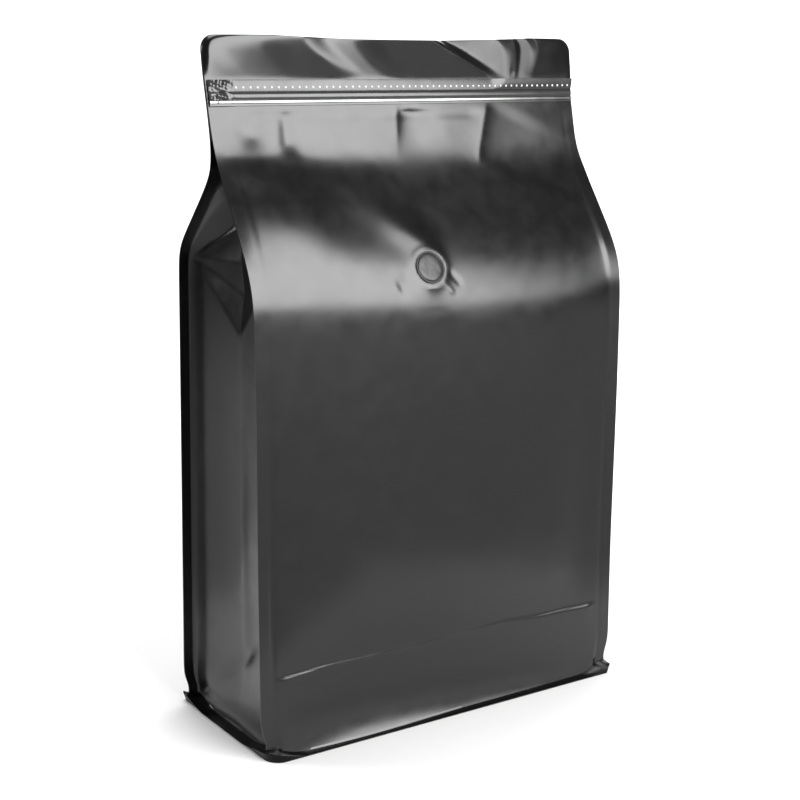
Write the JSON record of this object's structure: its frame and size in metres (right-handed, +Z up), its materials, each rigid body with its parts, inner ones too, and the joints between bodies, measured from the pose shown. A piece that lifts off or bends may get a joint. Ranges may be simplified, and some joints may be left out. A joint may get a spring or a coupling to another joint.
{
  "type": "stand-up pouch with valve",
  "caption": "Filled flat-bottomed stand-up pouch of dark satin film with side gussets, a leaning flat header, a tear-tab zipper and a round one-way valve on its shoulder.",
  "frame": {"origin": "middle of the base's bounding rectangle, on the surface that the pouch stands on", "axes": "+Z up, the front with the valve faces -Y, +X to the right seen from the front"},
  "size_m": [0.24, 0.1073, 0.3765],
  "materials": {
    "film": "satin black laminate film, softly reflective",
    "valve": "satin film over a moulded disc, pressed to a ring",
    "zipper": "glossy pressed rails and a tear tab with a row of small light bumps"
  },
  "bodies": {
    "root": {"pouch": "film", "valve": "valve", "tear_tab": "zipper", "zip_rails": "zipper"}
  },
  "joints": []
}
